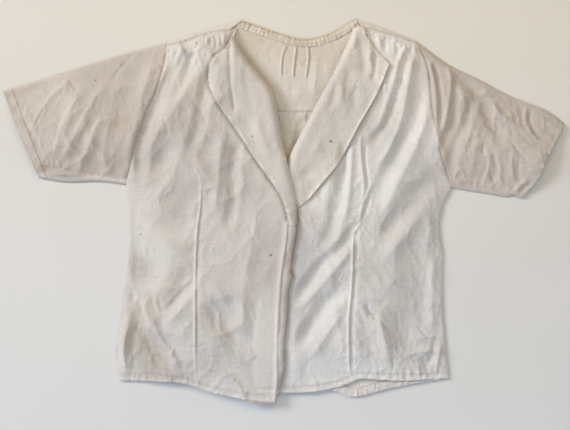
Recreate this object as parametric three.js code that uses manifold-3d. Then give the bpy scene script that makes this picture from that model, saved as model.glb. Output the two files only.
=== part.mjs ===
// A short-sleeved, wrap-front linen smock with turned-back lapels, lying flat on its back.
// Millimetres. +Z is up, +Y runs from hem to collar, and +X runs to the wearer's left sleeve.
// "right" and "left" are the wearer's. Each cut piece of cloth is its own closed solid.
import * as THREE from "three";
import { mergeGeometries, mergeVertices } from "three/addons/utils/BufferGeometryUtils.js";
import Module from "manifold-3d";

const wasm = await Module();
wasm.setup();

// Driving dimensions
const SPAN = 876; // cuff tip to cuff tip
const LENGTH = 600; // collar to hem
const CLOTH = 1.2; // one layer, with its nap and small creases
const BAND = 2; // a hem band: cloth folded twice and pressed
const GAP = 0.4; // air between two layers that touch
const SEAM_GAP = 0.4; // air between two pieces sewn edge to edge
const LOFT = 10; // air between back and front
const EDGE_ROLL = 24; // distance over which the front rises from a folded edge
const HEM = 12; // depth of the body hems
const CUFF = 13; // depth of the sleeve hems
const BINDING = 12; // depth of the neck binding
const FACING = 46; // depth of the front facings
const STUD_RADIUS = 4.5;
const STUD_SPACING = 81;
const STUD_SPACE = 3.5; // room between the two fronts for a closed press stud
const TRIM = 23; // cloth drawn past an armhole, and cut off there
const CLEARANCE = 7; // between the end of a front hem and the facing beside it
const GRID = 26; // mesh step of a curved sheet

const BASE = CLOTH + GAP; // underside of a front where it meets the back
const OVERLAP_LIFT = CLOTH + STUD_SPACE + CLOTH + 2 * GAP; // right front above left front

// Outline points of the whole garment, [x, y]
const RIGHT = {
  neck: [-66, 298],
  shoulder: [-183, 261],
  cuffTop: [-SPAN / 2, 186],
  cuffBottom: [-382, 51],
  armpit: [-247, 41],
  waist: [-241, -57],
  hip: [-264, -243],
  hem: [-253, -266],
};
const LEFT = {
  neck: [112, LENGTH / 2],
  shoulder: [204, 267],
  cuffTop: [SPAN / 2, 135],
  cuffBottom: [372, 20],
  armpit: [264, 37],
  waist: [242, -34],
  hip: [257, -230],
  hem: [258, -263],
};

// Fold lines of the moving pieces, [x, y] at each end
const BREAK = [8, -18]; // where the right lapel starts to turn back
const RIGHT_FRONT_FOLD = [BREAK, [-208, -264]];
const LEFT_FRONT_FOLD = [[-40, -75], [243, -263]];
const RIGHT_LAPEL_FOLD = [[16, 4], [-72, 263]];
const LEFT_LAPEL_FOLD = [[-14, 10], [100, 252]];
const RIGHT_ARMHOLE = [RIGHT.shoulder, RIGHT.armpit];
const LEFT_ARMHOLE = [[212, 265], [268, 38]];

const UNDERLAP_X = -40; // front edge of the left front, hidden below the right one
const YOKE_Y = 156; // back yoke seam
const RIGHT_SHOULDER_SEAM = [[-130, 267], [-182, 256]];
const LEFT_SHOULDER_SEAM = [[119, 272], [150, 272], [202, 262]];
const TOP_STUD = [-12, -26];

// Curves
const smooth = (points, steps) =>
  new THREE.SplineCurve(points.map(([x, y]) => new THREE.Vector2(x, y)))
    .getPoints(steps)
    .map((p) => [p.x, p.y]);

const NECKLINE = smooth([RIGHT.neck, [-20, 281], [28, 269], [74, 276], LEFT.neck], 16);
const BACK_HEM = smooth([RIGHT.hem, [-80, -264], [107, -291], [190, -282], LEFT.hem], 24);
const RIGHT_HEM = smooth([RIGHT.hem, [-159, -269], [-80, -288], [-14, -299]], 16);
const LEFT_HEM = smooth([LEFT.hem, [160, -273], [67, -283], [UNDERLAP_X, -282]], 8);
const FRONT_SEAM = smooth([[-14, -299], [-3, -170], [3, -61], BREAK], 8);
const FACING_FOLD = smooth([[-14, -LENGTH / 2], [6, -170], [12, -105], [15, -77], [19, -22]], 8);
const RIGHT_ROLL = smooth(
  [BREAK, [16, 8], [9, 63], [-6, 133], [-19, 164], [-44, 203], [-68, 234], [-79, 264]],
  14,
);
const RIGHT_LAPEL_EDGE = smooth(
  [[-79, 264], [-110, 234], [-112, 195], [-96, 153], [-53, 79], [-14, 32], BREAK],
  14,
);
const LEFT_ROLL = smooth(
  [[-30, -20], [-8, 32], [8, 82], [25, 118], [45, 156], [64, 191], [87, 231], [103, 250]],
  12,
);
const LEFT_LAPEL_EDGE = [
  [121, 268],
  [160, 225],
  ...smooth([[160, 225], [137, 172], [110, 110], [71, 48], [43, 20], [12, -6]], 9).slice(1),
];

// Heights: how far a sheet stands above the surface that the garment lies on
const segments = [
  [RIGHT.neck, RIGHT.shoulder],
  [RIGHT.shoulder, RIGHT.cuffTop],
  [RIGHT.cuffBottom, RIGHT.armpit],
  [RIGHT.armpit, RIGHT.waist],
  [RIGHT.waist, RIGHT.hip],
  [RIGHT.hip, RIGHT.hem],
  [LEFT.neck, LEFT.shoulder],
  [LEFT.shoulder, LEFT.cuffTop],
  [LEFT.cuffBottom, LEFT.armpit],
  [LEFT.armpit, LEFT.waist],
  [LEFT.waist, LEFT.hip],
  [LEFT.hip, LEFT.hem],
].map(([a, b]) => new THREE.Line3(new THREE.Vector3(...a, 0), new THREE.Vector3(...b, 0)));

const nearest = new THREE.Vector3();
function foldedEdgeDistance(x, y) {
  const here = new THREE.Vector3(x, y, 0);
  const distances = segments.map((edge) =>
    edge.closestPointToPoint(here, true, nearest).distanceTo(here),
  );
  return Math.min(...distances);
}

// Round rise from a folded edge up to the full loft.
function loft(x, y) {
  const reach = Math.min(foldedEdgeDistance(x, y) / EDGE_ROLL, 1);
  return LOFT * Math.sqrt(1 - (1 - reach) ** 2);
}

const { clamp } = THREE.MathUtils;

// How far x has gone from one value to another, held between 0 and 1.
const share = (x, from, to) => clamp((x - from) / (to - from), 0, 1);

// The right front climbs evenly over the left one, from its fold to its front edge, and comes
// down evenly along the lapel. Both hinge lines of the right front then run along its surface.
function overlapLift(x, y) {
  const across = share(x, RIGHT_FRONT_FOLD[1][0], BREAK[0]);
  const down = share(y, RIGHT_LAPEL_FOLD[1][1], RIGHT_LAPEL_FOLD[0][1]);
  return OVERLAP_LIFT * across * down;
}

const leftFrontHeight = (x, y) => BASE + loft(x, y);
const rightFrontHeight = (x, y) => BASE + loft(x, y) + overlapLift(x, y);
const rightLapelHeight = (x, y) => rightFrontHeight(x, y) + CLOTH + GAP;
const leftLapelHeight = (x, y) => leftFrontHeight(x, y) + CLOTH + GAP;
const rightFacingHeight = (x, y) => rightFrontHeight(x, y) - GAP - CLOTH;
const leftFacingHeight = (x, y) => leftFrontHeight(x, y) - GAP - CLOTH;

// Solids
function toSolid(geometry) {
  geometry.deleteAttribute("normal");
  geometry.deleteAttribute("uv");
  const merged = mergeVertices(geometry, 1e-3);
  const vertProperties = merged.attributes.position.array;
  const triVerts = new Uint32Array(merged.index.array);
  return new wasm.Manifold(new wasm.Mesh({ numProp: 3, vertProperties, triVerts }));
}

function toGeometry(solid) {
  const mesh = solid.getMesh();
  const geometry = new THREE.BufferGeometry();
  geometry.setAttribute("position", new THREE.BufferAttribute(mesh.vertProperties, 3));
  geometry.setIndex(new THREE.BufferAttribute(mesh.triVerts, 1));
  geometry.computeVertexNormals();
  return geometry;
}

// A flat layer of the given outline, from z up.
function plate(outline, z, thickness = CLOTH) {
  const shape = new THREE.Shape(outline.map(([x, y]) => new THREE.Vector2(x, y)));
  const geometry = new THREE.ExtrudeGeometry(shape, { depth: thickness, bevelEnabled: false });
  geometry.translate(0, 0, z);
  return toSolid(geometry);
}

// The whole grid cells that cover a list of coordinates: where they start, and how many.
function gridCells(values) {
  const start = Math.floor(Math.min(...values) / GRID) - 1;
  const end = Math.ceil(Math.max(...values) / GRID) + 1;
  return [start * GRID, end - start];
}

// A layer of the given outline that follows height(x, y). All sheets share one grid, so that
// layers that lie on each other keep their distance.
function sheet(outline, height, thickness = CLOTH) {
  const [west, columns] = gridCells(outline.map(([x]) => x));
  const [south, rows] = gridCells(outline.map(([, y]) => y));
  const [width, length] = [columns * GRID, rows * GRID];
  const top = new THREE.PlaneGeometry(width, length, columns, rows);
  top.translate(west + width / 2, south + length / 2, 0);
  const bottom = top.clone();
  bottom.index.array.reverse();
  for (let i = 0; i < top.attributes.position.count; i++) {
    const [x, y] = [top.attributes.position.getX(i), top.attributes.position.getY(i)];
    const inside = x > west && x < west + width && y > south && y < south + length;
    top.attributes.position.setZ(i, height(x, y) + thickness);
    bottom.attributes.position.setZ(i, height(x, y) + (inside ? 0 : thickness)); // closed rim
  }
  const slab = mergeGeometries([top, bottom]);
  return toSolid(slab).intersect(plate(outline, -LOFT, 6 * LOFT));
}

// Everything to the left of the line from a to b, half a seam gap clear of it.
function leftOf([a, b], inset = 0) {
  const reach = 2 * SPAN;
  const block = new THREE.BoxGeometry(reach, reach, reach);
  block.translate(0, reach / 2 + SEAM_GAP / 2 + inset, 0);
  block.rotateZ(Math.atan2(b[1] - a[1], b[0] - a[0]));
  block.translate(a[0], a[1], 0);
  return toSolid(block);
}

const rightOf = ([a, b], inset = 0) => leftOf([b, a], inset);

// The strip between a line and the same line moved by [dx, dy].
const strip = (line, dx, dy) => [
  ...line,
  ...line.map(([x, y]) => [x + dx, y + dy]).reverse(),
];

// A line moved by [dx, dy].
const moved = (line, dx, dy) => line.map(([x, y]) => [x + dx, y + dy]);

// A point moved away from the middle, past the armhole.
const outward = ([x, y]) => [x + Math.sign(x) * TRIM, y];

// The rounded fold or seam that joins the two layers of a sleeve along one edge.
function sleeveEdge([a, b], inward) {
  const width = 3;
  return plate(strip([a, b], 0, inward * width), 0, LOFT * 0.75);
}

// A flat sleeve: bottom and top layers joined along two edges, open at both ends.
function sleeveTube({ shoulder, cuffTop, cuffBottom, armpit }, thickness) {
  const inward = -Math.sign(shoulder[0]) * TRIM;
  const outline = [
    [shoulder[0] + inward, shoulder[1] + 4],
    shoulder,
    cuffTop,
    cuffBottom,
    armpit,
    [armpit[0] + inward, armpit[1]],
  ];
  return plate(outline, 0, thickness)
    .add(sheet(outline, loft, thickness))
    .add(sleeveEdge([shoulder, cuffTop], -1))
    .add(sleeveEdge([armpit, cuffBottom], 1));
}

// A press stud half, turned about its own axis; up is 1 or -1.
function pressStud(profile, x, y, z, up) {
  const points = profile.map(([radius, height]) => new THREE.Vector2(radius, height));
  const turned = new THREE.LatheGeometry(points, 18);
  turned.rotateX((up * Math.PI) / 2);
  turned.translate(x, y, z);
  return toSolid(turned);
}

const BALL = [
  [0, 0],
  [STUD_RADIUS, 0],
  [STUD_RADIUS, 0.5],
  [1.5, 0.8],
  [1.3, 1.2],
  [1, 1.8],
  [0, 1.9],
];
const SOCKET = [
  [0, 0],
  [STUD_RADIUS, 0],
  [STUD_RADIUS, 0.6],
  [3.2, 0.9],
  [2.4, 0.9],
  [2.2, 0.3],
  [0, 0.3],
];

// The fronts, before they are divided at their fold lines
const rightFront = sheet(
  [
    ...RIGHT_HEM,
    ...FRONT_SEAM.slice(1),
    ...RIGHT_ROLL.slice(1),
    ...RIGHT_SHOULDER_SEAM,
    outward(RIGHT_SHOULDER_SEAM.at(-1)),
    outward(RIGHT.armpit),
    RIGHT.armpit,
    RIGHT.waist,
    RIGHT.hip,
  ],
  rightFrontHeight,
);

const leftFront = sheet(
  [
    ...LEFT_HEM,
    [UNDERLAP_X, LEFT_FRONT_FOLD[0][1]],
    ...LEFT_ROLL,
    ...LEFT_SHOULDER_SEAM,
    outward(LEFT_SHOULDER_SEAM.at(-1)),
    outward(LEFT.armpit),
    LEFT.armpit,
    LEFT.waist,
    LEFT.hip,
  ],
  leftFrontHeight,
);

const rightFrontSide = rightFront
  .intersect(leftOf(RIGHT_ARMHOLE))
  .intersect(rightOf(RIGHT_FRONT_FOLD));
const rightFrontFlap = rightFront.intersect(leftOf(RIGHT_FRONT_FOLD));
const leftFrontSide = leftFront
  .intersect(rightOf(LEFT_ARMHOLE))
  .intersect(leftOf(LEFT_FRONT_FOLD));
const leftFrontFlap = leftFront.intersect(rightOf(LEFT_FRONT_FOLD));

// The back
const backBlank = plate(
  [
    ...NECKLINE,
    LEFT.shoulder,
    outward(LEFT.shoulder),
    outward(LEFT.armpit),
    LEFT.armpit,
    LEFT.waist,
    LEFT.hip,
    ...[...BACK_HEM].reverse(),
    RIGHT.hip,
    RIGHT.waist,
    RIGHT.armpit,
    outward(RIGHT.armpit),
    outward(RIGHT.shoulder),
    RIGHT.shoulder,
  ],
  0,
)
  .intersect(leftOf(RIGHT_ARMHOLE))
  .intersect(rightOf(LEFT_ARMHOLE));
const YOKE_SEAM = [[-SPAN / 2, YOKE_Y], [SPAN / 2, YOKE_Y]];

// Sleeves: the tube from the armhole to the hem, and the hem band to the cuff edge
const rightCuff = [RIGHT.cuffTop, RIGHT.cuffBottom];
const leftCuff = [LEFT.cuffBottom, LEFT.cuffTop];
const rightTube = sleeveTube(RIGHT, CLOTH).intersect(rightOf(RIGHT_ARMHOLE));
const leftTube = sleeveTube(LEFT, CLOTH).intersect(leftOf(LEFT_ARMHOLE));

// Colours
const LINEN = 0xd8d3ca;
const LINEN_SHADE = 0xcdc6ba;
const BINDING_CREAM = 0xc9bfa4;
const STEEL = 0xa7a8a6;

const smock = new THREE.Group();

function addPiece(name, solid, color, metalness = 0) {
  const roughness = metalness ? 0.35 : 0.9;
  const material = new THREE.MeshStandardMaterial({ color, roughness, metalness });
  const mesh = new THREE.Mesh(toGeometry(solid), material);
  mesh.name = name;
  smock.add(mesh);
}

function addBack() {
  const hemLine = strip(BACK_HEM.slice(1, -1), 0, HEM); // clear of the side seams
  addPiece("back_yoke", backBlank.intersect(leftOf(YOKE_SEAM)), LINEN_SHADE);
  addPiece("back_panel", backBlank.intersect(rightOf(YOKE_SEAM)), LINEN_SHADE);
  addPiece("back_hem", plate(hemLine, CLOTH + GAP), LINEN);
  const binding = strip(NECKLINE.slice(1, -1), 0, -BINDING);
  addPiece("neck_binding", plate(binding, CLOTH + GAP), BINDING_CREAM);
}

// The yoke comes forward over the shoulder and ends in a narrow strip above the gathers.
function addShoulderYokes() {
  const right = [[-82, 266.5], [-130, 268], [-182, 257], RIGHT.shoulder, [-124, 281], [-72, 294]];
  const left = [[121, 273], [150, 273], [202, 263], LEFT.shoulder, [150, 287], [114, 298]];
  const lie = (x, y) => BASE + loft(x, y);
  const rightStrip = sheet(right, lie).intersect(leftOf(RIGHT_ARMHOLE));
  const leftStrip = sheet(left, lie).intersect(rightOf(LEFT_ARMHOLE));
  addPiece("shoulder_yoke_right", rightStrip, LINEN);
  addPiece("shoulder_yoke_left", leftStrip, LINEN);
}

function addFronts() {
  addPiece("front_right_side", rightFrontSide, LINEN);
  addPiece("front_right_flap", rightFrontFlap, LINEN);
  addPiece("front_left_side", leftFrontSide, LINEN);
  addPiece("front_left_flap", leftFrontFlap, LINEN);
}

// The front hems are turned up on the inside of each front, clear of the side seams.
function addFrontHems() {
  const drop = 0.8; // a little air above a hem, where the front curves down to the side seam
  const rightLie = (x, y) => rightFacingHeight(x, y) - drop;
  const leftLie = (x, y) => leftFacingHeight(x, y) - drop;
  const right = sheet(strip(RIGHT_HEM.slice(1), 0, HEM), rightLie);
  const left = sheet(strip(LEFT_HEM.slice(1), 0, HEM), leftLie);
  const [rightEnd, leftEnd] = [RIGHT_HEM.at(-1)[0] - FACING, UNDERLAP_X + FACING];
  const rightHem = right.intersect(leftOf([[rightEnd, -LENGTH], [rightEnd, LENGTH]], CLEARANCE));
  const leftHem = left.intersect(rightOf([[leftEnd, -LENGTH], [leftEnd, LENGTH]], CLEARANCE));
  const rightSide = rightHem.intersect(rightOf(RIGHT_FRONT_FOLD));
  addPiece("hem_right_side", rightSide, LINEN);
  addPiece("hem_right_flap", rightHem.intersect(leftOf(RIGHT_FRONT_FOLD)), LINEN);
  addPiece("hem_left_flap", leftHem.intersect(rightOf(LEFT_FRONT_FOLD)), LINEN);
}

// Facings line the front edges. The right one rolls outward past the seam.
function addFacings() {
  const innerEdge = moved(FRONT_SEAM.slice(1), -FACING, 0).reverse();
  const right = [...FACING_FOLD, ...innerEdge, [RIGHT_HEM.at(-1)[0] - FACING, -288]];
  const left = [
    [UNDERLAP_X, LEFT_FRONT_FOLD[0][1]],
    [UNDERLAP_X, -282],
    [UNDERLAP_X + FACING, -282],
    [UNDERLAP_X + FACING, LEFT_FRONT_FOLD[0][1]],
  ];
  const rightFacing = sheet(right, rightFacingHeight).intersect(leftOf(RIGHT_FRONT_FOLD));
  const leftFacing = sheet(left, leftFacingHeight).intersect(rightOf(LEFT_FRONT_FOLD));
  addPiece("facing_right", rightFacing, LINEN_SHADE);
  addPiece("facing_left", leftFacing, LINEN_SHADE);
}

// The lapels are the upper facings, turned outward over the fronts. The tip of the left one
// stops clear of the right front that covers it.
function addLapels() {
  const underRightFront = [[30, -24], [20, 84]];
  const right = sheet([...RIGHT_ROLL.slice(1), ...RIGHT_LAPEL_EDGE.slice(1)], rightLapelHeight);
  const left = sheet([...LEFT_ROLL, ...LEFT_LAPEL_EDGE], leftLapelHeight);
  addPiece("lapel_right", right.intersect(leftOf(RIGHT_LAPEL_FOLD)), LINEN);
  const leftLapel = left.intersect(rightOf(LEFT_LAPEL_FOLD)).intersect(rightOf(underRightFront));
  addPiece("lapel_left", leftLapel, LINEN);
}

function addSleeves() {
  addPiece("sleeve_right", rightTube.intersect(leftOf(rightCuff, CUFF)), LINEN);
  addPiece("sleeve_left", leftTube.intersect(leftOf(leftCuff, CUFF)), LINEN);
  const rightBand = sleeveTube(RIGHT, BAND).intersect(rightOf(rightCuff, -CUFF));
  const leftBand = sleeveTube(LEFT, BAND).intersect(rightOf(leftCuff, -CUFF));
  addPiece("sleeve_hem_right", rightBand, LINEN);
  addPiece("sleeve_hem_left", leftBand, LINEN);
}

// Press studs close the overlap: a ball half on the right front, a socket half on the left.
function addPressStuds() {
  for (let i = 0; i < 3; i++) {
    const [x, y] = [TOP_STUD[0], TOP_STUD[1] - i * STUD_SPACING];
    const ballZ = rightFacingHeight(x, y) - GAP;
    const socketZ = leftFrontHeight(x, y) + CLOTH + GAP;
    addPiece(`stud_ball_${i + 1}`, pressStud(BALL, x, y, ballZ, -1), STEEL, 1);
    addPiece(`stud_socket_${i + 1}`, pressStud(SOCKET, x, y, socketZ, 1), STEEL, 1);
  }
}

addBack();
addShoulderYokes();
addFronts();
addFrontHems();
addFacings();
addLapels();
addSleeves();
addPressStuds();

export default smock;
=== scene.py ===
"""Looks of the wrap-front linen smock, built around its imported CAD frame.

The garment lies flat on its back. Lengths in this script are millimetres in the frame's own
axes (+X to the wearer's left sleeve, +Y to the collar, +Z up) and become metres when a mesh is
made; the stage is in metres. "right" and "left" are the wearer's.
"""

import bpy
import bmesh
import numpy as np
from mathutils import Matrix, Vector, noise
from mathutils.geometry import delaunay_2d_cdt


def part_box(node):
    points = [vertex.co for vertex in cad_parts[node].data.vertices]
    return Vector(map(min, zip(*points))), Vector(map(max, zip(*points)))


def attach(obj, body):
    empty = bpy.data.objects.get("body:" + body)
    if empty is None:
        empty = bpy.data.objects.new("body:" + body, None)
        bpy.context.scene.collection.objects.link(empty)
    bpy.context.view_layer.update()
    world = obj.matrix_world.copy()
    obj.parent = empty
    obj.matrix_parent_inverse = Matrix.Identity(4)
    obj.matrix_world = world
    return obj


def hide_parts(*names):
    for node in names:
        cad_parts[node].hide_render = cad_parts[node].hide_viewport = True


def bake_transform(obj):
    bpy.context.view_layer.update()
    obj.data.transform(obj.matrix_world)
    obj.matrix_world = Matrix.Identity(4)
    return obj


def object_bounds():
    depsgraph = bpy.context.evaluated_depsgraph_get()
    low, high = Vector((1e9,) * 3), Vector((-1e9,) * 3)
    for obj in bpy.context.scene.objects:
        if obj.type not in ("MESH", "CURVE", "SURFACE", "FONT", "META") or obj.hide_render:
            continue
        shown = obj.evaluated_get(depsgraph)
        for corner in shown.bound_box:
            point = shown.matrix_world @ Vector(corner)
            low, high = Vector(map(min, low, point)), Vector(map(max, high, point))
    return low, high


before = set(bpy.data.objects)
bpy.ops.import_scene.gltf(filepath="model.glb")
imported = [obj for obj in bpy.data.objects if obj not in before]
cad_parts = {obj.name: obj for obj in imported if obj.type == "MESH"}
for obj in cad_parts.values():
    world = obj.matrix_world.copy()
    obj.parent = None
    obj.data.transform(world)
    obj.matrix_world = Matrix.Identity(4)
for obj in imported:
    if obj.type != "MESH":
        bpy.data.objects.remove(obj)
CAD_LOW, CAD_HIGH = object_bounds()

MM = 0.001


def box_mm(node):
    """Lowest and highest corner of a CAD node, in millimetres."""
    low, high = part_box(node)
    return np.array(low) / MM, np.array(high) / MM


# Sizes that come from the frame
LAYER = box_mm("back_yoke")[1][2]  # one layer of cloth in the CAD
FRONT_TOP = box_mm("front_left_side")[1][2]
OVERLAP_LIFT = box_mm("front_right_flap")[1][2] - FRONT_TOP
UNDERLAP_X = box_mm("facing_left")[0][0]
FACING = box_mm("facing_left")[1][0] - UNDERLAP_X

# Sizes of the cloth itself
CLOTH = 0.9  # thickness
ON_TABLE = 0.3  # no cloth is lower than this
STEP = 2.4  # mesh spacing
EDGE_TOP = 2 * LAYER  # top of the cloth at a folded edge
EDGE_FOLD = 6  # radius of a folded edge, seen from above
EDGE_FOLD_RISE = 1.8
SLOPE = 70  # distance over which the front then rises to its full height
HEM = 12
BINDING = 12
RUCHE = 6.2  # spacing of the neck binding's small gathers
HEM_DROP = 6  # the fronts sink this far towards their hems
CUFF = 13
STRIP_DROP = 1.2 * LAYER  # the front facing's turned-out strip lies this far below the front
LAPEL_RISE = 2.6  # top of a lapel above the front that it lies on
LAPEL_ROLL = 6  # radius of a lapel's rolled edge, seen from above
ROLL_DROP = 1.2  # a lapel's rolled edge starts this far below its front's top
LAPEL_END = 60  # the right lapel thins out over this distance from its lower end
PRESSED = 0.75  # share of a front's relief that a lapel presses flat
SMOOTH_EDGE = 14  # folds die out over this distance from a folded edge
STUD_ROOM = 0.8  # depth of the deepest valley beside the press studs
UNDER = LAYER + 0.4  # a facing lies this far below its front
RIM_ANGLE = 1.0  # radians: a sharper turn than this is a cut edge of the cloth


# ---------------------------------------------------------------- lines

def spaced(line, step):
    """The line again, with points about step apart."""
    along = np.concatenate([[0], np.cumsum(np.linalg.norm(np.diff(line, axis=0), axis=1))])
    at = np.linspace(0, along[-1], max(2, round(along[-1] / step) + 1))
    return np.stack([np.interp(at, along, line[:, k]) for k in range(line.shape[1])], axis=1)


def curve(*points, step=STEP):
    """A smooth line through the points (Catmull-Rom), as points about step apart."""
    p = np.array(points, float)
    p = np.vstack([2 * p[0] - p[1], p, 2 * p[-1] - p[-2]])
    t = np.linspace(0, 1, 12, endpoint=False)[:, None]
    pieces = []
    for a, b, c, d in zip(p, p[1:], p[2:], p[3:]):
        bend = (2 * a - 5 * b + 4 * c - d) * t**2 + (3 * b - a - 3 * c + d) * t**3
        pieces.append(b + 0.5 * ((c - a) * t + bend))
    return spaced(np.vstack([*pieces, p[-2:-1]]), step)


def loop(*lines):
    """Lines joined end to end into one closed outline, without doubled points."""
    points = np.vstack(lines)
    apart = np.linalg.norm(points - np.roll(points, 1, axis=0), axis=1)
    return points[apart > 0.8]


def near(xy, line):
    """For each point: distance to the line, distance along it, and side (1 left, -1 right)."""
    a, d = line[:-1], np.diff(line, axis=0)
    length = np.linalg.norm(d, axis=1)
    away = xy[:, None] - a
    t = np.clip((away * d).sum(2) / length**2, 0, 1)
    off = away - t[:, :, None] * d
    distance = np.linalg.norm(off, axis=2)
    i = distance.argmin(1)
    rows = np.arange(len(xy))
    off = off[rows, i]
    along = np.concatenate([[0], np.cumsum(length)])[i] + t[rows, i] * length[i]
    side = np.sign(d[i, 0] * off[:, 1] - d[i, 1] * off[:, 0])
    return distance[rows, i], along, side


def within(xy, outline):
    """Which points lie inside a closed outline."""
    x, y = xy[:, :1], xy[:, 1:]
    x1, y1 = outline.T
    x2, y2 = np.roll(outline, -1, axis=0).T
    crosses = (y1 > y) != (y2 > y)
    slope = (x2 - x1) / np.where(y2 == y1, 1e-9, y2 - y1)
    return (crosses & (x < x1 + slope * (y - y1))).sum(1) % 2 == 1


def rise(t):
    """0 before 0, 1 after 1, smooth between."""
    t = np.clip(t, 0, 1)
    return t * t * (3 - 2 * t)


def rounded(distance, radius):
    """A quarter circle: 0 at an edge, 1 at the radius and beyond."""
    return np.sqrt(1 - (1 - np.clip(distance / radius, 0, 1)) ** 2)


# ---------------------------------------------------------------- relief of the cloth

def fold(height, width, *points, lean=0):
    """A crisp ridge along a line if height is above 0, or else a soft valley. width is how far
    it reaches to each side; lean (-1 to 1) makes its left side steeper and its right side longer."""
    return height, width, curve(*points, step=6), lean


def gather(height, reach, pitch, seed, *points):
    """Small ridges that run away from a gathered or puckered seam."""
    return height, reach, pitch, seed, curve(*points, step=6)


def creased(seed, count, low, high, heading, spread=35, height=0.7):
    """Short sharp creases scattered over a rectangle, lying roughly along a heading (degrees)."""
    draw = np.random.default_rng(seed)
    made = []
    for _ in range(count):
        start, length = draw.uniform(low, high), draw.uniform(12, 42)
        turn, bend = np.radians(draw.normal(heading, spread)), draw.normal(0, 0.35)
        middle = start + length / 2 * np.array([np.cos(turn), np.sin(turn)])
        end = middle + length / 2 * np.array([np.cos(turn + bend), np.sin(turn + bend)])
        made.append(fold(draw.normal(0, height), draw.uniform(3, 5.5), start, middle, end))
    return made


def pleated(seed, height, pitch, length, heading, *points):
    """Short crisp ridges that start along a seam about pitch apart and run off at a heading."""
    draw = np.random.default_rng(seed)
    made = []
    for start in curve(*points, step=pitch):
        start = start + draw.normal(0, 0.2 * pitch, 2)
        turn, reach = np.radians(draw.normal(heading, 9)), length * draw.uniform(0.45, 1.3)
        end = start + reach * np.array([np.cos(turn), np.sin(turn)])
        middle = (start + end) / 2 + draw.normal(0, 1.2, 2)
        made.append(fold(height * draw.uniform(0.5, 1.4), 0.62 * pitch, start, middle, end))
    return made


def around(xy, line, reach):
    """Indices of the points in the line's box, widened by reach."""
    low, high = line.min(0) - reach, line.max(0) + reach
    return np.flatnonzero(((xy > low) & (xy < high)).all(1))


def folds_at(xy, folds):
    """Height that the folds add at each point."""
    total = np.zeros(len(xy))
    for height, width, line, lean in folds:
        i = around(xy, line, width / (1 - abs(lean)))
        if len(i):
            distance, along, side = near(xy[i], line)
            length = np.linalg.norm(np.diff(line, axis=0), axis=1).sum()
            ends = rise(np.minimum(along, length - along) / min(2.2 * width, length / 2))
            across = np.clip(distance * (1 + lean * side) / width, 0, 1)
            crisp, soft = (1 - across) ** 2 * (1 + 0.6 * across), (1 - across**2) ** 2
            total[i] += height * ends * (crisp if height > 0 else soft)
    return total


def gathers_at(xy, gathers):
    """Height that the gathers add at each point."""
    total = np.zeros(len(xy))
    for height, reach, pitch, seed, line in gathers:
        i = around(xy, line, reach)
        if len(i):
            distance, along, side = near(xy[i], line)
            places = zip(along / pitch, side * seed, distance / (4 * reach))
            wave = np.array([noise.noise(Vector(p)) for p in places])
            total[i] += 2 * height * wave * rise(1 - distance / reach)
    return total


def waver(along, wave, across, seed):
    """Irregular waves, about -1 to 1, along a line."""
    return np.array([noise.noise(Vector((s / wave, across, seed))) for s in along])


def ripple(xy, wave, height, seed, turn=0.0):
    """Faint irregular unevenness of washed linen: wave is its (across, along) wavelength."""
    c, s = np.cos(turn), np.sin(turn)
    u = (xy[:, 0] * c + xy[:, 1] * s) / wave[0]
    v = (xy[:, 1] * c - xy[:, 0] * s) / wave[1]
    return height * np.array([noise.noise(Vector((a, b, seed))) for a, b in zip(u, v)])


def crumple(xy, wave, height, seed, turn=0.0):
    """Facets with crisp ridges between them, as in washed linen that was never ironed."""
    pushed = np.stack([ripple(xy, (50, 50), 26, seed + 1), ripple(xy, (50, 50), 26, seed + 2)], axis=1)
    swing = np.abs(ripple(xy + pushed, wave, 2.0, seed, turn))
    return height * (0.6 - 1.2 * swing / (0.6 + swing))


# ---------------------------------------------------------------- outline of the garment

RIGHT_NECK, LEFT_NECK = (-66, 297), (112, 299)
RIGHT_SHOULDER, LEFT_SHOULDER = (-183, 261), (205, 265)
RIGHT_CUFF = curve((-438, 186), (-422, 148), (-402, 99), (-382, 51))
LEFT_CUFF = curve((438, 135), (425, 111), (407, 79), (394, 48), (371, 19))
RIGHT_SLEEVE_TOP = curve(RIGHT_SHOULDER, (-256, 242), (-340, 216), (-438, 186))
LEFT_SLEEVE_TOP = curve(LEFT_SHOULDER, (256, 228), (301, 206), (354, 178), (408, 157), (438, 135))
RIGHT_SLEEVE_BOTTOM = curve((-382, 51), (-340, 45), (-290, 46), (-247, 41))
LEFT_SLEEVE_BOTTOM = curve((371, 19), (358, 24), (347, 22), (318, 27), (291, 31), (262, 36))
RIGHT_ARMHOLE = curve(
    RIGHT_SHOULDER, (-186, 232), (-199, 186), (-212, 157), (-228, 111), (-235, 86), (-247, 41)
)
LEFT_ARMHOLE = curve(
    LEFT_SHOULDER, (223, 227), (230, 159), (237, 127), (241, 100), (248, 75), (262, 36)
)
RIGHT_SIDE = curve((-247, 41), (-243, -20), (-243, -77), (-253, -149), (-262, -219), (-256, -265))
LEFT_SIDE = curve((262, 36), (249, 12), (242, -24), (247, -70), (247, -140), (252, -205), (258, -262))
RIGHT_SHOULDER_LINE = curve(RIGHT_NECK, (-124, 281), RIGHT_SHOULDER)
LEFT_SHOULDER_LINE = curve(LEFT_NECK, (150, 286), LEFT_SHOULDER)
NECKLINE = curve(RIGHT_NECK, (-20, 281), (28, 268), (68, 275), LEFT_NECK)
RIGHT_EDGES = [RIGHT_SHOULDER_LINE, RIGHT_SLEEVE_TOP, RIGHT_SLEEVE_BOTTOM, RIGHT_SIDE]
LEFT_EDGES = [LEFT_SHOULDER_LINE, LEFT_SLEEVE_TOP, LEFT_SLEEVE_BOTTOM, LEFT_SIDE]
FOLDED_EDGES = RIGHT_EDGES + LEFT_EDGES

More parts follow.
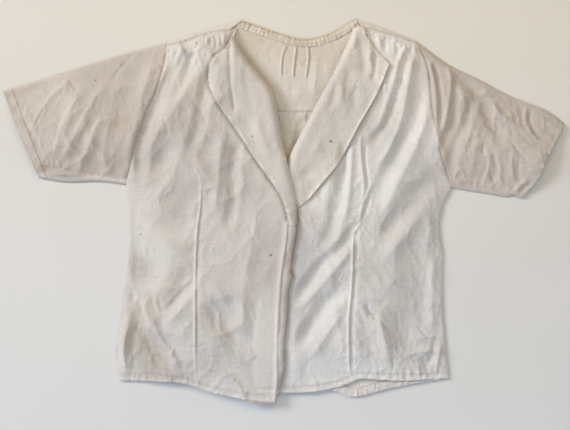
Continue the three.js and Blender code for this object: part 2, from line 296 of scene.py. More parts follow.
BACK_HEM = curve((-256, -264), (-80, -264), (66, -279), (107, -290), (161, -278), (202, -270), (258, -262))
RIGHT_HEM = curve((-256, -265), (-166, -268), (-120, -281), (-93, -288), (-52, -295), (-13, -299))
LEFT_HEM = curve(
    (258, -262), (181, -265), (121, -262), (104, -268), (80, -276), (35, -283), (UNDERLAP_X, -284)
)
LIFT_FROM = (-208, 263)  # from here the right front climbs over the left one
BREAK = (8, -18)  # where the right lapel starts to turn back
FOLD_TOP = (19, 4)  # where the front facing's folded edge becomes the lapel's roll
FRONT_SEAM = curve(
    (-13, -298), (-9, -260), (-9, -207), (-5, -126), (-1, -85), (5, -45), (7, -22), BREAK
)
FACING_FOLD = curve(
    (-13, -300), (-1, -248), (0, -207), (5, -156), (6, -122), (12, -103), (10, -92), (13, -65), (20, -22),
    FOLD_TOP,
)
STRIP_END = curve(BREAK, FOLD_TOP)
RIGHT_ROLL = curve(
    FOLD_TOP, (13, 40), (3, 80), (-3, 104), (-10, 148), (-19, 184), (-40, 212), (-62, 238), (-75, 262),
    (-77, 274), (-74, 286),
)
RIGHT_LAPEL_EDGE = curve(
    (-76, 280), (-84, 265), (-91, 252), (-106, 241), (-114, 228), (-117, 209), (-114, 190), (-100, 163),
    (-74, 126), (-42, 77), (-10, 32), (0, 12), BREAK
)
LEFT_ROLL = curve(
    (-30, -20), (-8, 32), (8, 82), (25, 118), (45, 156), (64, 191), (82, 226), (96, 255), (108, 284)
)
LEFT_LAPEL_EDGE = curve((163, 227), (150, 194), (137, 168), (115, 130), (86, 76), (60, 44), (39, 18))
LEFT_LAPEL_TOP = curve(LEFT_ROLL[-1], (121, 287), (129, 270), (140, 253), (163, 227))
LEFT_LAPEL_TIP = curve((39, 18), (29, 11), (12, -6), (-30, -20))
RIGHT_LAPEL = loop(RIGHT_ROLL[:-1], RIGHT_LAPEL_EDGE, STRIP_END)
LEFT_LAPEL = loop(LEFT_ROLL[:-1], LEFT_LAPEL_TOP, LEFT_LAPEL_EDGE, LEFT_LAPEL_TIP)
RIGHT_YOKE_SEAM = curve((-182, 259), (-156, 265), (-131, 274), (-110, 279), (-85, 282))
LEFT_YOKE_SEAM = curve((121, 286), (144, 281), (160, 277), (176, 272), (203, 262))


# ---------------------------------------------------------------- folds, placed from the photo

RIGHT_FOLDS = [
    # sleeve
    fold(1.8, 8, (-332, 207), (-358, 182), (-376, 158), (-386, 136), lean=-0.4),
    fold(-1.2, 3, (-372, 162), (-380, 146), (-386, 132)),
    fold(1.9, 9, (-313, 188), (-332, 156), (-345, 128), (-358, 84), lean=-0.4),
    fold(-1.0, 12, (-322, 192), (-345, 160), (-358, 128)),
    fold(2.3, 10, (-278, 200), (-296, 172), (-312, 140), (-328, 110), (-347, 76), lean=-0.4),
    fold(-1.8, 14, (-290, 150), (-304, 122), (-318, 96), (-336, 66)),
    fold(2.0, 9, (-282, 150), (-296, 118), (-308, 90), (-322, 66), lean=-0.4),
    fold(-2.0, 20, (-222, 236), (-239, 190), (-256, 140), (-262, 90)),
    fold(2.4, 13, (-203, 236), (-216, 190), (-228, 140), (-249, 70)),
    fold(-1.0, 4, (-229, 250), (-251, 226), (-270, 200)),
    fold(-1.4, 14, (-277, 118), (-290, 88), (-300, 58)),
    fold(-0.9, 6, (-424, 170), (-410, 146), (-390, 120), (-376, 88)),
    fold(0.7, 5, (-404, 164), (-392, 134), (-380, 104), (-368, 76), lean=-0.3),
    fold(1.2, 6, (-262, 84), (-272, 62), (-290, 52)),
    fold(2.8, 6, (-381, 58), (-350, 56), (-318, 53), (-288, 50), lean=0.3),
    fold(-1.6, 3, (-382, 68), (-350, 65), (-318, 60), (-288, 55)),
    # front, beside the armhole
    fold(-5.0, 15, (-164, 236), (-185, 196), (-198, 168), (-212, 135), (-225, 95), (-220, 45), lean=-0.3),
    fold(4.6, 24, (-140, 214), (-163, 170), (-183, 138), (-202, 110), (-214, 72)),
    fold(-4.2, 13, (-134, 268), (-146, 225), (-158, 200), (-176, 160)),
    fold(3.0, 8, (-126, 270), (-136, 240), (-148, 214)),
    fold(2.4, 7, (-158, 262), (-164, 240), (-172, 220)),
    fold(-5.0, 15, (-114, 236), (-122, 190), (-128, 150), (-138, 112), (-152, 76)),
    fold(3.2, 14, (-94, 132), (-98, 95), (-102, 40), (-108, -10)),
    fold(-4.0, 13, (-68, 114), (-78, 68), (-79, 22), (-88, -36)),
    fold(-3.0, 20, (-108, 124), (-122, 92), (-132, 64)),
    fold(-5.4, 28, (-168, 116), (-190, 80), (-206, 36)),
    fold(3.0, 20, (-160, 70), (-186, 34), (-212, 2)),
    fold(-4.2, 26, (-146, -50), (-180, -22), (-214, -6)),
    fold(-5.0, 32, (-196, -70), (-216, -96), (-232, -120)),
    fold(2.2, 22, (-40, 20), (-50, -50), (-60, -110), (-64, -190)),
    # below the dart
    fold(-5.6, 20, (-134, -76), (-152, -112), (-172, -142), (-200, -162)),
    fold(4.0, 17, (-142, -128), (-165, -158), (-192, -188)),
    fold(8.5, 24, (-236, -140), (-240, -172), (-247, -200), (-249, -226), (-240, -268), lean=0.6),
    fold(-6.5, 26, (-226, -160), (-208, -196), (-186, -238), (-172, -262), lean=-0.4),
    fold(4.6, 14, (-222, -158), (-198, -188), (-176, -222), (-154, -258), lean=0.4),
    fold(3.0, 10, (-202, -128), (-217, -146), (-213, -162), (-196, -186), lean=-0.6),
    fold(2.6, 9, (-137, -100), (-170, -131), (-190, -156), lean=0.5),
    fold(-5.2, 20, (-130, -116), (-112, -142), (-98, -168), (-80, -195), (-56, -226)),
    fold(2.8, 9, (-137, -127), (-104, -154), (-99, -184), (-76, -209), (-38, -232), lean=-0.4),
    fold(-2.4, 30, (-50, -110), (-36, -170), (-34, -240)),
    fold(-3.0, 34, (-92, -120), (-84, -156), (-70, -190)),
    fold(1.8, 8, (-140, 60), (-158, 78), (-176, 86)),
    *creased(1, 80, (-425, 60), (-250, 220), -60, spread=40, height=0.6),
    *creased(2, 60, (-252, -260), (-150, -110), -50, height=0.9),
    *creased(3, 36, (-210, 120), (-90, 255), -75, spread=20, height=0.6),
    *creased(4, 60, (-235, -250), (-20, 60), -75, spread=50, height=0.5),
]
RIGHT_DART = curve((-138, 63), (-130, 47), (-130, 6), (-135, -33), (-138, -99), (-138, -164), (-138, -262))
RIGHT_FOLDS += [
    *pleated(21, 2.6, 8, 34, -98, (-180, 256), (-156, 262), (-131, 270), (-92, 276)),
    *pleated(29, 1.6, 5, 16, -95, (-140, 268), (-112, 276), (-94, 278)),
    *pleated(22, 0.9, 9, 15, 80, (-250, -264), (-166, -267), (-120, -280), (-93, -287), (-24, -296)),
    *pleated(23, 1.2, 7, 16, 100, (-380, 66), (-350, 63), (-330, 61)),
    *pleated(28, 0.9, 10, 15, 100, (-290, 50), (-250, 45)),
    *pleated(24, 0.8, 9, 14, 20, (-430, 178), (-415, 145), (-395, 96), (-380, 56)),
    *pleated(25, 0.9, 11, 16, 165, (-192, 222), (-212, 157), (-228, 111), (-244, 52)),
    *pleated(26, 1.0, 12, 20, -30, (-130, 44), (-130, 6), (-137, -60), (-138, -150)),
    *pleated(27, 1.0, 14, 26, -140, (-131, 20), (-136, -60), (-138, -160), (-138, -240)),
]
RIGHT_GATHERS = [
    gather(1.2, 50, 12, 3, (-183, 255), (-156, 264), (-129, 270), (-88, 274)),
    gather(0.5, 18, 8, 5, (-256, -262), (-166, -265), (-120, -277), (-52, -291)),
]

LEFT_FOLDS = [
    # shoulder and armhole
    fold(-4.6, 12, (197, 264), (196, 246), (184, 222), (176, 190), (166, 157), (150, 124), (132, 94)),
    fold(3.6, 10, (190, 264), (178, 226), (167, 184), (152, 142), (140, 116)),
    fold(4.4, 15, (203, 260), (198, 224), (190, 184), (180, 138), (163, 96), (140, 58)),
    fold(-3.8, 18, (211, 210), (206, 150), (192, 118), (174, 82), (154, 44), (138, 8)),
    fold(3.8, 19, (222, 180), (216, 130), (200, 90), (180, 50), (160, 10), (140, -20)),
    fold(-5.6, 24, (238, 64), (210, 30), (184, 0), (156, -36), (130, -64)),
    fold(3.4, 22, (230, 14), (200, -24), (170, -60), (140, -92)),
    fold(2.6, 6, (226, 236), (232, 205), (236, 170), (237, 126), (243, 92), lean=-0.3),
    fold(-2.6, 7, (231, 236), (241, 200), (243, 158), (241, 130)),
    # sleeve
    fold(3.4, 9, (232, 246), (254, 228), (259, 200), (256, 168), (250, 142), (245, 116), lean=-0.5),
    fold(-3.6, 12, (262, 222), (266, 196), (263, 160), (262, 136), (252, 112), (246, 84)),
    fold(1.8, 8, (268, 200), (276, 180), (284, 162)),
    fold(-3.8, 15, (262, 224), (282, 202), (298, 186), (312, 168), (318, 148), (332, 124), (348, 100)),
    fold(-3.4, 13, (294, 186), (290, 160), (281, 132), (268, 112), (260, 76), (258, 46)),
    fold(1.4, 5, (293, 158), (291, 130), (284, 104), (276, 84)),
    fold(1.2, 10, (300, 142), (300, 108), (294, 76), (290, 48)),
    fold(-2.0, 4, (314, 106), (309, 96), (312, 84)),
    fold(1.9, 6, (314, 96), (319, 74), (314, 52), (308, 32), lean=-0.3),
    fold(-1.0, 6, (322, 98), (330, 70), (326, 40)),
    fold(1.5, 5, (327, 92), (335, 74), (337, 52), (340, 34), lean=-0.3),
    fold(2.4, 10, (324, 176), (334, 152), (354, 137), (374, 124), (390, 106)),
    fold(2.3, 5, (379, 166), (375, 146), (378, 131), (386, 118), (398, 104), lean=-0.4),
    fold(-1.4, 5.5, (387, 160), (383, 140), (392, 120), (404, 108)),
    fold(-1.8, 4.5, (350, 114), (361, 96), (372, 84), (382, 76)),
    fold(1.8, 5.5, (355, 96), (354, 72), (358, 46)),
    fold(-1.0, 5.5, (366, 88), (364, 62), (369, 42)),
    fold(2.4, 5, (354, 24), (366, 38), (381, 52), lean=0.3),
    fold(-1.6, 4.5, (362, 22), (374, 35), (388, 47)),
    fold(1.4, 5, (264, 46), (274, 66), (284, 48), (298, 40)),
    fold(-0.7, 6, (268, 42), (278, 56), (290, 38)),
    fold(1.6, 7, (345, 160), (352, 150), (366, 148)),
    fold(-1.6, 7, (338, 152), (348, 128), (362, 112)),
    # front
    fold(-5.0, 18, (84, 40), (76, -14), (68, -44), (56, -76)),
    fold(-4.4, 12, (94, 116), (91, 66), (86, 16)),
    fold(2.2, 5, (120, 122), (119, 95), (122, 62), (125, 38), (121, 6), lean=0.2),
    fold(-2.8, 4.5, (126, 104), (125, 82), (128, 56), (130, 30)),
    fold(3.0, 10, (106, 106), (104, 60), (100, 16), (92, -20)),
    fold(
        -6.4, 14, (119, -19), (108, -31), (92, -53), (75, -70), (59, -84), (44, -103), (26, -126), (8, -148)
    ),
    fold(4.2, 14, (108, -54), (88, -80), (66, -106), (44, -132), (24, -156)),
    fold(-6.6, 18, (100, -106), (76, -136), (60, -153), (45, -175), (31, -196), (10, -218)),
    fold(3.8, 15, (98, -148), (78, -174), (58, -204), (38, -234)),
    fold(-5.0, 26, (118, -164), (134, -200), (152, -240)),
    fold(3.4, 13, (146, -150), (154, -196), (166, -244)),
    fold(-5.0, 30, (172, -140), (184, -196), (200, -246)),
    fold(3.0, 52, (118, -50), (116, -120), (112, -200), (110, -270), lean=0.45),
    fold(-4.5, 46, (206, -30), (204, -100), (204, -180), (206, -250)),
    fold(1.6, 7, (114, -142), (124, -156), (136, -160)),
    fold(-1.6, 7, (112, -154), (122, -168), (128, -184)),
    fold(3.2, 18, (230, -50), (230, -140), (230, -206)),
    fold(-2.4, 7, (238, -196), (232, -220), (222, -250)),
    fold(2.6, 5, (246, -206), (240, -232), (236, -258)),
    fold(-2.0, 5, (214, -224), (220, -240), (226, -262)),
    fold(2.2, 5, (206, -232), (210, -246), (212, -262)),
    *creased(11, 110, (270, 40), (420, 200), -55, spread=50, height=0.9),
    *creased(12, 60, (110, -258), (252, -130), -60, height=0.9),
    *creased(13, 30, (130, 150), (225, 265), -100, spread=20, height=0.6),
    *creased(14, 60, (20, -250), (240, 100), -110, spread=50, height=0.5),
]
LEFT_DART = curve(
    (117, -20), (108, -40), (106, -85), (104, -126), (100, -166), (100, -213), (101, -238), (104, -262)
)
LEFT_FOLDS += [
    *pleated(31, 2.2, 9, 30, -80, (128, 280), (150, 276), (176, 268), (202, 261)),
    *pleated(40, 1.8, 5.5, 13, -85, (130, 281), (150, 277), (176, 269), (196, 262)),
    *pleated(32, 1.3, 8, 20, 95, (256, -260), (181, -263), (121, -260)),
    *pleated(33, 0.9, 9, 13, 95, (121, -260), (104, -266), (80, -274), (0, -282)),
    *pleated(34, 1.1, 9, 20, 160, (254, -258), (251, -230), (249, -200)),
    *pleated(35, 1.4, 9, 17, 155, (430, 128), (402, 80), (389, 48), (370, 26)),
    *pleated(36, 1.3, 10, 18, 95, (366, 24), (318, 30), (268, 38)),
    fold(2.2, 4, (117, -20), (120, 2), (127, 18), (134, 42)),
    fold(-2.2, 5, (123, -14), (128, 6), (135, 28)),
    fold(1.8, 3.6, (117, -20), (126, -30), (138, -44)),
    fold(1.6, 3.6, (117, -20), (108, -17), (98, -18)),
    fold(1.6, 3.2, (116, -22), (109, -34), (98, -44)),
    *pleated(39, 1.0, 12, 18, -150, (120, 80), (121, 20), (108, -60), (100, -200)),
]
LEFT_GATHERS = [
    gather(1.4, 40, 12, 22, (121, 279), (150, 274), (176, 268), (204, 261)),
    gather(0.8, 24, 8, 25, (258, -259), (181, -262), (121, -260)),
]


# ---------------------------------------------------------------- heights of the layers' tops

def edge_distance(xy):
    """Distance to the nearest folded edge of the garment."""
    return np.min([near(xy, spaced(edge, 30))[0] for edge in FOLDED_EDGES], axis=0)


def body_height(xy):
    """Top of a front or sleeve without its folds, and a mask that flattens folds at its edges."""
    away = edge_distance(xy)
    full = FRONT_TOP - EDGE_TOP - EDGE_FOLD_RISE
    height = EDGE_TOP + EDGE_FOLD_RISE * rounded(away, EDGE_FOLD) + full * rise(away / SLOPE)
    from_hem = np.minimum(near(xy, spaced(RIGHT_HEM, 30))[0], near(xy, spaced(LEFT_HEM, 30))[0])
    height -= HEM_DROP * (1 - rise(from_hem / SLOPE)) * rise(away / SLOPE)
    return height, rise(away / SMOOTH_EDGE)


def overlap_lift(xy):
    """The right front climbs over the left one towards its front edge, below the collar."""
    across = np.clip((xy[:, 0] - LIFT_FROM[0]) / (BREAK[0] - LIFT_FROM[0]), 0, 1)
    down = np.clip((LIFT_FROM[1] - xy[:, 1]) / (LIFT_FROM[1] - FOLD_TOP[1]), 0, 1)
    return OVERLAP_LIFT * across * down


def seam_ridge(xy, line, height, width, fade=1):
    """A raised line, such as a dart or a piped edge, that fades over a length fade at its ends."""
    distance, along, _ = near(xy, line)
    length = np.linalg.norm(np.diff(line, axis=0), axis=1).sum()
    ends = rise(0.1 + np.minimum(along, length - along) / fade)
    return height * ends * (1 - np.clip(distance / width, 0, 1) ** 2) ** 2


def showing(xy, lapel, edge):
    """1 where a front's folds show, and less where a lapel presses them flat."""
    return 1 - PRESSED * within(xy, lapel) * rise(near(xy, edge)[0] / 25)


def above_back(height, relief):
    """The relief, with its valleys held above the back panel."""
    return np.maximum(relief, 0.85 * (EDGE_TOP - height))


def right_top(xy):
    """Top of the right front and sleeve."""
    height, mask = body_height(xy)
    relief = folds_at(xy, RIGHT_FOLDS) + gathers_at(xy, RIGHT_GATHERS)
    relief += crumple(xy, (80, 120), 6.0, 2.5, 0.5) + crumple(xy, (30, 46), 1.5, 1.5, -0.6)
    relief *= showing(xy, RIGHT_LAPEL, RIGHT_LAPEL_EDGE)
    relief += seam_ridge(xy, RIGHT_DART, 1.5, 2.6, 90) - seam_ridge(xy, RIGHT_DART + [4, 0], 0.7, 4, 90)
    relief -= seam_ridge(xy, RIGHT_ARMHOLE, 1.5, 3) + seam_ridge(xy, RIGHT_HEM + [0, 9], 0.8, 2.5)
    relief -= seam_ridge(xy, RIGHT_LAPEL_EDGE - [2, 0], 1.6, 4)
    relief += seam_ridge(xy, FRONT_SEAM - [3.5, 0], 2.4, 4.5)
    from_studs = near(xy, FRONT_SEAM)[0]
    relief = np.maximum(relief, -STUD_ROOM - 8 * rise(from_studs / 50 - 0.5))
    return height + overlap_lift(xy) + above_back(height, mask * relief)


def left_top(xy):
    """Top of the left front and sleeve."""
    height, mask = body_height(xy)
    relief = folds_at(xy, LEFT_FOLDS) + gathers_at(xy, LEFT_GATHERS)
    relief += crumple(xy, (80, 120), 5.0, 8.5, 0.4) + crumple(xy, (30, 46), 1.5, 7.5, 0.6)
    relief *= showing(xy, LEFT_LAPEL, LEFT_LAPEL_EDGE)
    relief += seam_ridge(xy, LEFT_DART, 1.8, 3, 40) - seam_ridge(xy, LEFT_DART + [5, 0], 1.2, 6, 40)
    relief -= seam_ridge(xy, LEFT_ARMHOLE, 1.5, 3) + seam_ridge(xy, LEFT_HEM + [0, 9], 0.8, 2.5)
    relief += seam_ridge(xy, FACING_FOLD + [4, 0], 2.4, 34)
    under_right_front = rise((xy[:, 0] - 6) / 20)
    return height + above_back(height, mask * relief * under_right_front)


def lapel_top(xy, under, roll, edge, thick):
    """A lapel: two layers on top of a front, rounded at its roll and piped along its edge."""
    from_roll, from_edge = near(xy, roll)[0], near(xy, edge)[0]
    body = (thick + ROLL_DROP) * rounded(from_roll, LAPEL_ROLL) - ROLL_DROP
    swell = 3.0 * rise(from_roll / 10) * rise(1 - from_roll / 60)
    piping = 1.5 * (1 - np.clip(from_edge / 3, 0, 1) ** 2)
    return under(xy) + body + (swell + piping) * rise(from_end(xy) / LAPEL_END)


def from_end(xy):
    """Distance from the end of the right lapel, where it runs into the front edge's strip."""
    return near(xy, STRIP_END)[0]


RIGHT_LAPEL_FOLDS = [
    fold(-3.4, 4.5, (-83, 272), (-84, 252), (-84, 226), (-82, 190), (-76, 150)),
    fold(1.8, 9, (-76, 262), (-76, 226), (-72, 184), lean=0.3),
    fold(1.4, 12, (-100, 236), (-102, 206), (-94, 170)),
    fold(-2.0, 16, (-18, 118), (-12, 92), (-6, 62)),
    fold(-1.8, 16, (-66, 150), (-56, 128), (-46, 104)),
    fold(1.6, 12, (-44, 150), (-34, 112), (-22, 74)),
    fold(1.4, 10, (-70, 232), (-66, 200), (-58, 172)),
]
LEFT_LAPEL_FOLDS = [
    fold(-1.4, 8, (104, 226), (98, 200), (92, 176)),
    fold(1.6, 9, (96, 206), (88, 178), (82, 150)),
    fold(3.2, 4.5, (129, 262), (134, 247), (132, 234), (137, 222), (134, 208), lean=-0.3),
    fold(-3.2, 6, (141, 250), (140, 224), (138, 196)),
    fold(-2.2, 8, (118, 274), (122, 243), (126, 205)),
    fold(2.6, 6, (110, 284), (110, 268), (106, 246)),
    fold(-2.0, 9, (108, 196), (109, 170), (112, 148)),
    fold(1.6, 10, (84, 200), (92, 170), (96, 140)),
    fold(-2.6, 13, (52, 74), (38, 58), (20, 40)),
    fold(2.0, 12, (62, 128), (52, 100), (40, 78)),
    fold(-1.4, 7, (80, 204), (76, 172), (66, 150)),
]


def right_lapel_top(xy):
    """Top of the right lapel, which thins towards its lower end."""
    thick = LAPEL_RISE * rise(0.3 + from_end(xy) / LAPEL_END)
    top = lapel_top(xy, right_top, RIGHT_ROLL, RIGHT_LAPEL_EDGE, thick)
    return top + folds_at(xy, RIGHT_LAPEL_FOLDS) + ripple(xy, (15, 24), 0.7, 12.5)


def left_lapel_top(xy):
    """Top of the left lapel, whose tip goes under the right front."""
    top = lapel_top(xy, left_top, LEFT_ROLL, LEFT_LAPEL_EDGE, LAPEL_RISE)
    return top + folds_at(xy, LEFT_LAPEL_FOLDS) + ripple(xy, (15, 24), 0.7, 14.5)


def right_facing_top(xy):
    """Against the underside of the right front, then rolling out past its seam; near its upper
    end the strip climbs to run into the lapel."""
    distance, _, side = near(xy, FRONT_SEAM)
    outside = (side < 0) * rise(distance / 2)
    bulge = 1.4 * rounded(near(xy, FACING_FOLD)[0], 5) - 1.2
    wavy = ripple(xy, (9, 16), 1.2, 17.5)
    climb = (STRIP_DROP + 0.8) * rise(1 - from_end(xy) / 45)
    return right_top(xy) - STRIP_DROP - 0.4 + outside * (bulge + 0.6 + wavy + climb)


BACK_TUCKS = [
    curve((3, 257), (-3, 240), (-5, 212)),
    curve((19, 256), (15, 222), (14, 208)),
    curve((38, 256), (38, 234), (34, 208)),
]
BACK_FOLDS = [
    fold(2.2, 12, (52, 244), (49, 210), (46, 172)),
    fold(0.8, 8, (26, 206), (25, 190), (23, 166)),
    fold(0.8, 8, (6, 208), (5, 190), (4, 166)),
    fold(2.2, 9, (16, 148), (14, 118), (10, 84)),
    fold(-1.4, 7, (28, 150), (20, 116), (10, 90)),
    fold(1.8, 6, (4, 150), (6, 126), (6, 96)),
    fold(1.6, 8, (36, 146), (32, 130), (24, 106)),
]
YOKE_SEAM_Y = box_mm("back_yoke")[0][1]
BACK_FOLDS += pleated(51, 1.5, 5, 15, -90, (-10, YOKE_SEAM_Y), (50, YOKE_SEAM_Y))


def back_top(xy):
    """The back lies on the table, with its tucks and the gathers below the yoke seam."""
    relief = folds_at(xy, BACK_FOLDS)
    for tuck in BACK_TUCKS:
        relief += seam_ridge(xy, tuck, 1.1, 2.4) - seam_ridge(xy, tuck + [3, 0], 0.5, 2.4)
    below = YOKE_SEAM_Y - xy[:, 1]
    relief += 1.6 * waver(xy[:, 0], 6, 0.5, 3.0) * (below > 0) * rise(1 - below / 40)
    relief += 1.2 * (below < 0) * rise(1 + below / 8)
    inside = rise(edge_distance(xy) / 25)
    return LAYER + 0.3 + inside * np.maximum(relief + 0.6 + ripple(xy, (30, 44), 1.0, 20.5), 0)


# Soiling along seams and edges, and painted shade in the seams, beside raised edges and over hollows: line,
# reach and strength
OUTSIDE_SOIL_AND_SHADE = [
    (RIGHT_DART[15:] + [2, 0], 3, 0.2),
    (LEFT_DART[8:] + [3, 0], 3, 0.2),
    *[(armhole, 3, 0.35) for armhole in (RIGHT_ARMHOLE, LEFT_ARMHOLE)],
    (LEFT_ARMHOLE[6:34], 2.2, 0.8),
    # the next two: painted contact shadow on the fronts beside the lapels' edges
    (RIGHT_LAPEL_EDGE - [1.5, 0], 2.6, 0.6),
    (LEFT_LAPEL_EDGE + [1, 0], 3, 0.45),
    (RIGHT_HEM + [0, 9], 2.5, 0.25),
    *[(edge, 2.5, 0.3) for edge in (RIGHT_HEM, LEFT_HEM, LEFT_HEM + [0, 9], RIGHT_CUFF, LEFT_CUFF)],
    *[(seam, 3.5, 0.35) for seam in (RIGHT_YOKE_SEAM, LEFT_YOKE_SEAM)],
    # painted shade over the facing's turned-out strip and along its fold
    (FACING_FOLD, 10, 0.5),
    # from here on: broad painted shade over hollows and slopes that face away from the light
    (curve((-234, -168), (-222, -204), (-206, -250)), 38, 0.32),
    (curve((-210, -134), (-209, -152), (-200, -172)), 17, 0.3),
    (curve((-148, -56), (-172, -106), (-198, -138)), 22, 0.22),
    (curve((-238, -78), (-206, -98)), 30, 0.2),
    (curve((-120, -170), (-92, -206), (-62, -238)), 18, 0.16),
    (curve((-200, 118), (-208, 86), (-204, 60)), 32, 0.2),
    (curve((-116, 232), (-124, 180), (-132, 130)), 20, 0.12),
    (curve((-20, -96), (-14, -118)), 24, 0.12),
    (curve((108, -46), (146, -104)), 40, 0.09),
    (curve((152, -160), (182, -206), (196, -240)), 34, 0.13),
    (curve((198, 230), (178, 170), (150, 112)), 12, 0.14),
    (curve((238, 66), (196, 14), (146, -42)), 20, 0.12),
]
# Crests and edges painted paler: worn cloth, and painted highlight where light catches the lapels' edges,
# the front's piped edge and the darts: line, reach and strength
OUTSIDE_WEAR_AND_HIGHLIGHT = [
    (RIGHT_LAPEL_EDGE + [1.6, 0], 2.6, 0.75),
    (LEFT_LAPEL_EDGE - [2.2, 0], 2.4, 0.4),
    (FRONT_SEAM - [2.6, 0], 3, 0.8),
    (RIGHT_DART, 2, 0.5),
    (LEFT_DART, 2.2, 0.7),
    (RIGHT_HEM + [0, 3], 3, 0.3),
    (LEFT_HEM + [0, 3], 3, 0.4),
    (RIGHT_SLEEVE_BOTTOM + [0, 5], 6, 0.5),
]
# Inside: soiling along the neckline and the yoke seam, and painted shade beside the back's tucks: line,
# reach and strength
INSIDE_SOIL_AND_SHADE = [
    *[(tuck + [2, 0], 2.6, 0.35) for tuck in BACK_TUCKS],
    (NECKLINE, 4, 0.6),
    (curve((-60, YOKE_SEAM_Y), (100, YOKE_SEAM_Y)), 3, 0.25),
]


def amount_along_lines(xy, line_marks):
    """How far a list of line marks has gone at each point, from 0 to 1; the lists hold soiling and painted
    shade, and worn paler edges and painted highlight.
    """
    amount = np.zeros(len(xy))
    for line, reach, strength in line_marks:
        i = around(xy, line, reach)
        if len(i):
            amount[i] = np.maximum(amount[i], strength * rise(1 - near(xy[i], line)[0] / reach))
    return amount


# ---------------------------------------------------------------- meshes

def finish_cloth(name, mesh_builder, material):
    """A named object from a bmesh in millimetres, with a flat UV map and a cloth's thickness."""
    mesh = bpy.data.meshes.new(name)
    bmesh.ops.recalc_face_normals(mesh_builder, faces=mesh_builder.faces)
    uv = mesh_builder.loops.layers.uv.new("cloth")
    for face in mesh_builder.faces:
        face.smooth = True
        for corner in face.loops:
            corner[uv].uv = (corner.vert.co.x * MM, corner.vert.co.y * MM)
    bmesh.ops.scale(mesh_builder, vec=(MM, MM, MM), verts=mesh_builder.verts)
    mesh_builder.to_mesh(mesh)
    mesh_builder.free()
    piece = bpy.data.objects.new(name, mesh)
    bpy.context.scene.collection.objects.link(piece)
    solid = piece.modifiers.new("thickness", "SOLIDIFY")
    solid.thickness = CLOTH * MM
    solid.offset = -1
    bpy.context.view_layer.update()
    thick = bpy.data.meshes.new_from_object(piece.evaluated_get(bpy.context.evaluated_depsgraph_get()))
    piece.modifiers.clear()
    piece.data = thick
    bpy.data.meshes.remove(mesh)
    thick.name = name
    thick.set_sharp_from_angle(angle=RIM_ANGLE)
    thick.materials.append(material)
    for vertex in thick.vertices:
        vertex.co.z = max(vertex.co.z, ON_TABLE * MM)
    xy = np.array([v.co[:2] for v in thick.vertices]) / MM
    # per-vertex amounts of soiling and painted shade, and of worn paler edges and painted highlight
    line_marks, wear_and_highlight = (INSIDE_SOIL_AND_SHADE, []) if material in (INSIDE, RUCHED) else (OUTSIDE_SOIL_AND_SHADE, OUTSIDE_WEAR_AND_HIGHLIGHT)
    for attribute, marks in (("line_marks", line_marks), ("wear_and_highlight", wear_and_highlight)):
        values = thick.attributes.new(attribute, "FLOAT", "POINT").data
        values.foreach_set("value", amount_along_lines(xy, marks))
    return piece


def triangulate(outline, step, lines=()):
    """Points and triangles that fill an outline evenly, with closer rows of points along lines."""
    low, high = outline.min(0), outline.max(0)
    rows = np.arange(low[1], high[1], step * 0.866)
    columns = np.arange(low[0], high[0], step)
    grid = np.array([(x + step / 2 * (k % 2), y) for k, y in enumerate(rows) for x in columns])
    grid = grid[within(grid, outline)]
    for line in lines:
        rows = spaced(line, STEP)
        grid = grid[near(grid, rows)[0] > STEP + 1]
        rows = np.vstack([rows + [offset, 0.35 * offset] for offset in np.linspace(-STEP, STEP, 5)])
        grid = np.vstack([grid, rows[within(rows, outline)]])
    grid = grid[near(grid, np.vstack([outline, outline[:1]]))[0] > step * 0.4]
    points = [Vector(p) for p in np.vstack([outline, grid])]
    made = delaunay_2d_cdt(points, [], [list(range(len(outline)))], 1, 1e-4)
    return np.array([tuple(p) for p in made[0]]), made[2]


def layer(outline, height, step=STEP, lines=()):
    """One layer of cloth with the given outline, at height(xy)."""
    xy, triangles = triangulate(outline, step, lines)
    z = height(xy)
    built = bmesh.new()
    verts = [built.verts.new((x, y, h)) for (x, y), h in zip(xy, z)]
    for triangle in triangles:
        built.faces.new([verts[i] for i in triangle])
    return built


def tube(outline, top, edges, step=STEP):
    """Two layers of cloth joined along the given edges, open at the others."""
    xy, triangles = triangulate(outline, step)
    from_edge = np.min([near(xy, edge)[0] for edge in edges], axis=0)
    upper = np.where(from_edge < 0.01, EDGE_TOP, top(xy))
    bottom = CLOTH + ON_TABLE
    lower = bottom + (EDGE_TOP - bottom) * (1 - rise(from_edge / 4))
    built = bmesh.new()
    for z, turned in ((upper, 1), (lower, -1)):
        verts = [built.verts.new((x, y, h)) for (x, y), h in zip(xy, z)]
        for triangle in triangles:
            built.faces.new([verts[i] for i in triangle][::turned])
    bmesh.ops.remove_doubles(built, verts=built.verts, dist=0.02)
    return built


def ribbon(line, width, height, rows=5, step=2.0):
    """A narrow strip to the left of a line (or to its right, where width is below 0), at
    height(xy, along, across)."""
    line = spaced(line, step)
    ahead = np.gradient(line, axis=0)
    ahead /= np.linalg.norm(ahead, axis=1)[:, None]
    left = np.stack([-ahead[:, 1], ahead[:, 0]], axis=1)
    built = bmesh.new()
    grid = []
    for k in range(rows + 1):
        xy = line + left * width * k / rows
        z = height(xy, np.arange(len(line)) * step, k / rows)
        grid.append([built.verts.new((x, y, h)) for (x, y), h in zip(xy, z)])
    for a, b in zip(grid, grid[1:]):
        for i in range(len(line) - 1):
            built.faces.new([a[i], a[i + 1], b[i + 1], b[i]])
    return built


# ---------------------------------------------------------------- materials

def add(tree, kind, inputs=(), **settings):
    """A shader node with its settings, and its inputs: a number, a colour or another's output."""
    made = tree.nodes.new(kind)
    for key, value in settings.items():
        setattr(made, key, value)
    for socket, value in dict(inputs).items():
        if isinstance(value, bpy.types.NodeSocket):
            tree.links.new(value, made.inputs[socket])
        else:
            made.inputs[socket].default_value = value
    return made


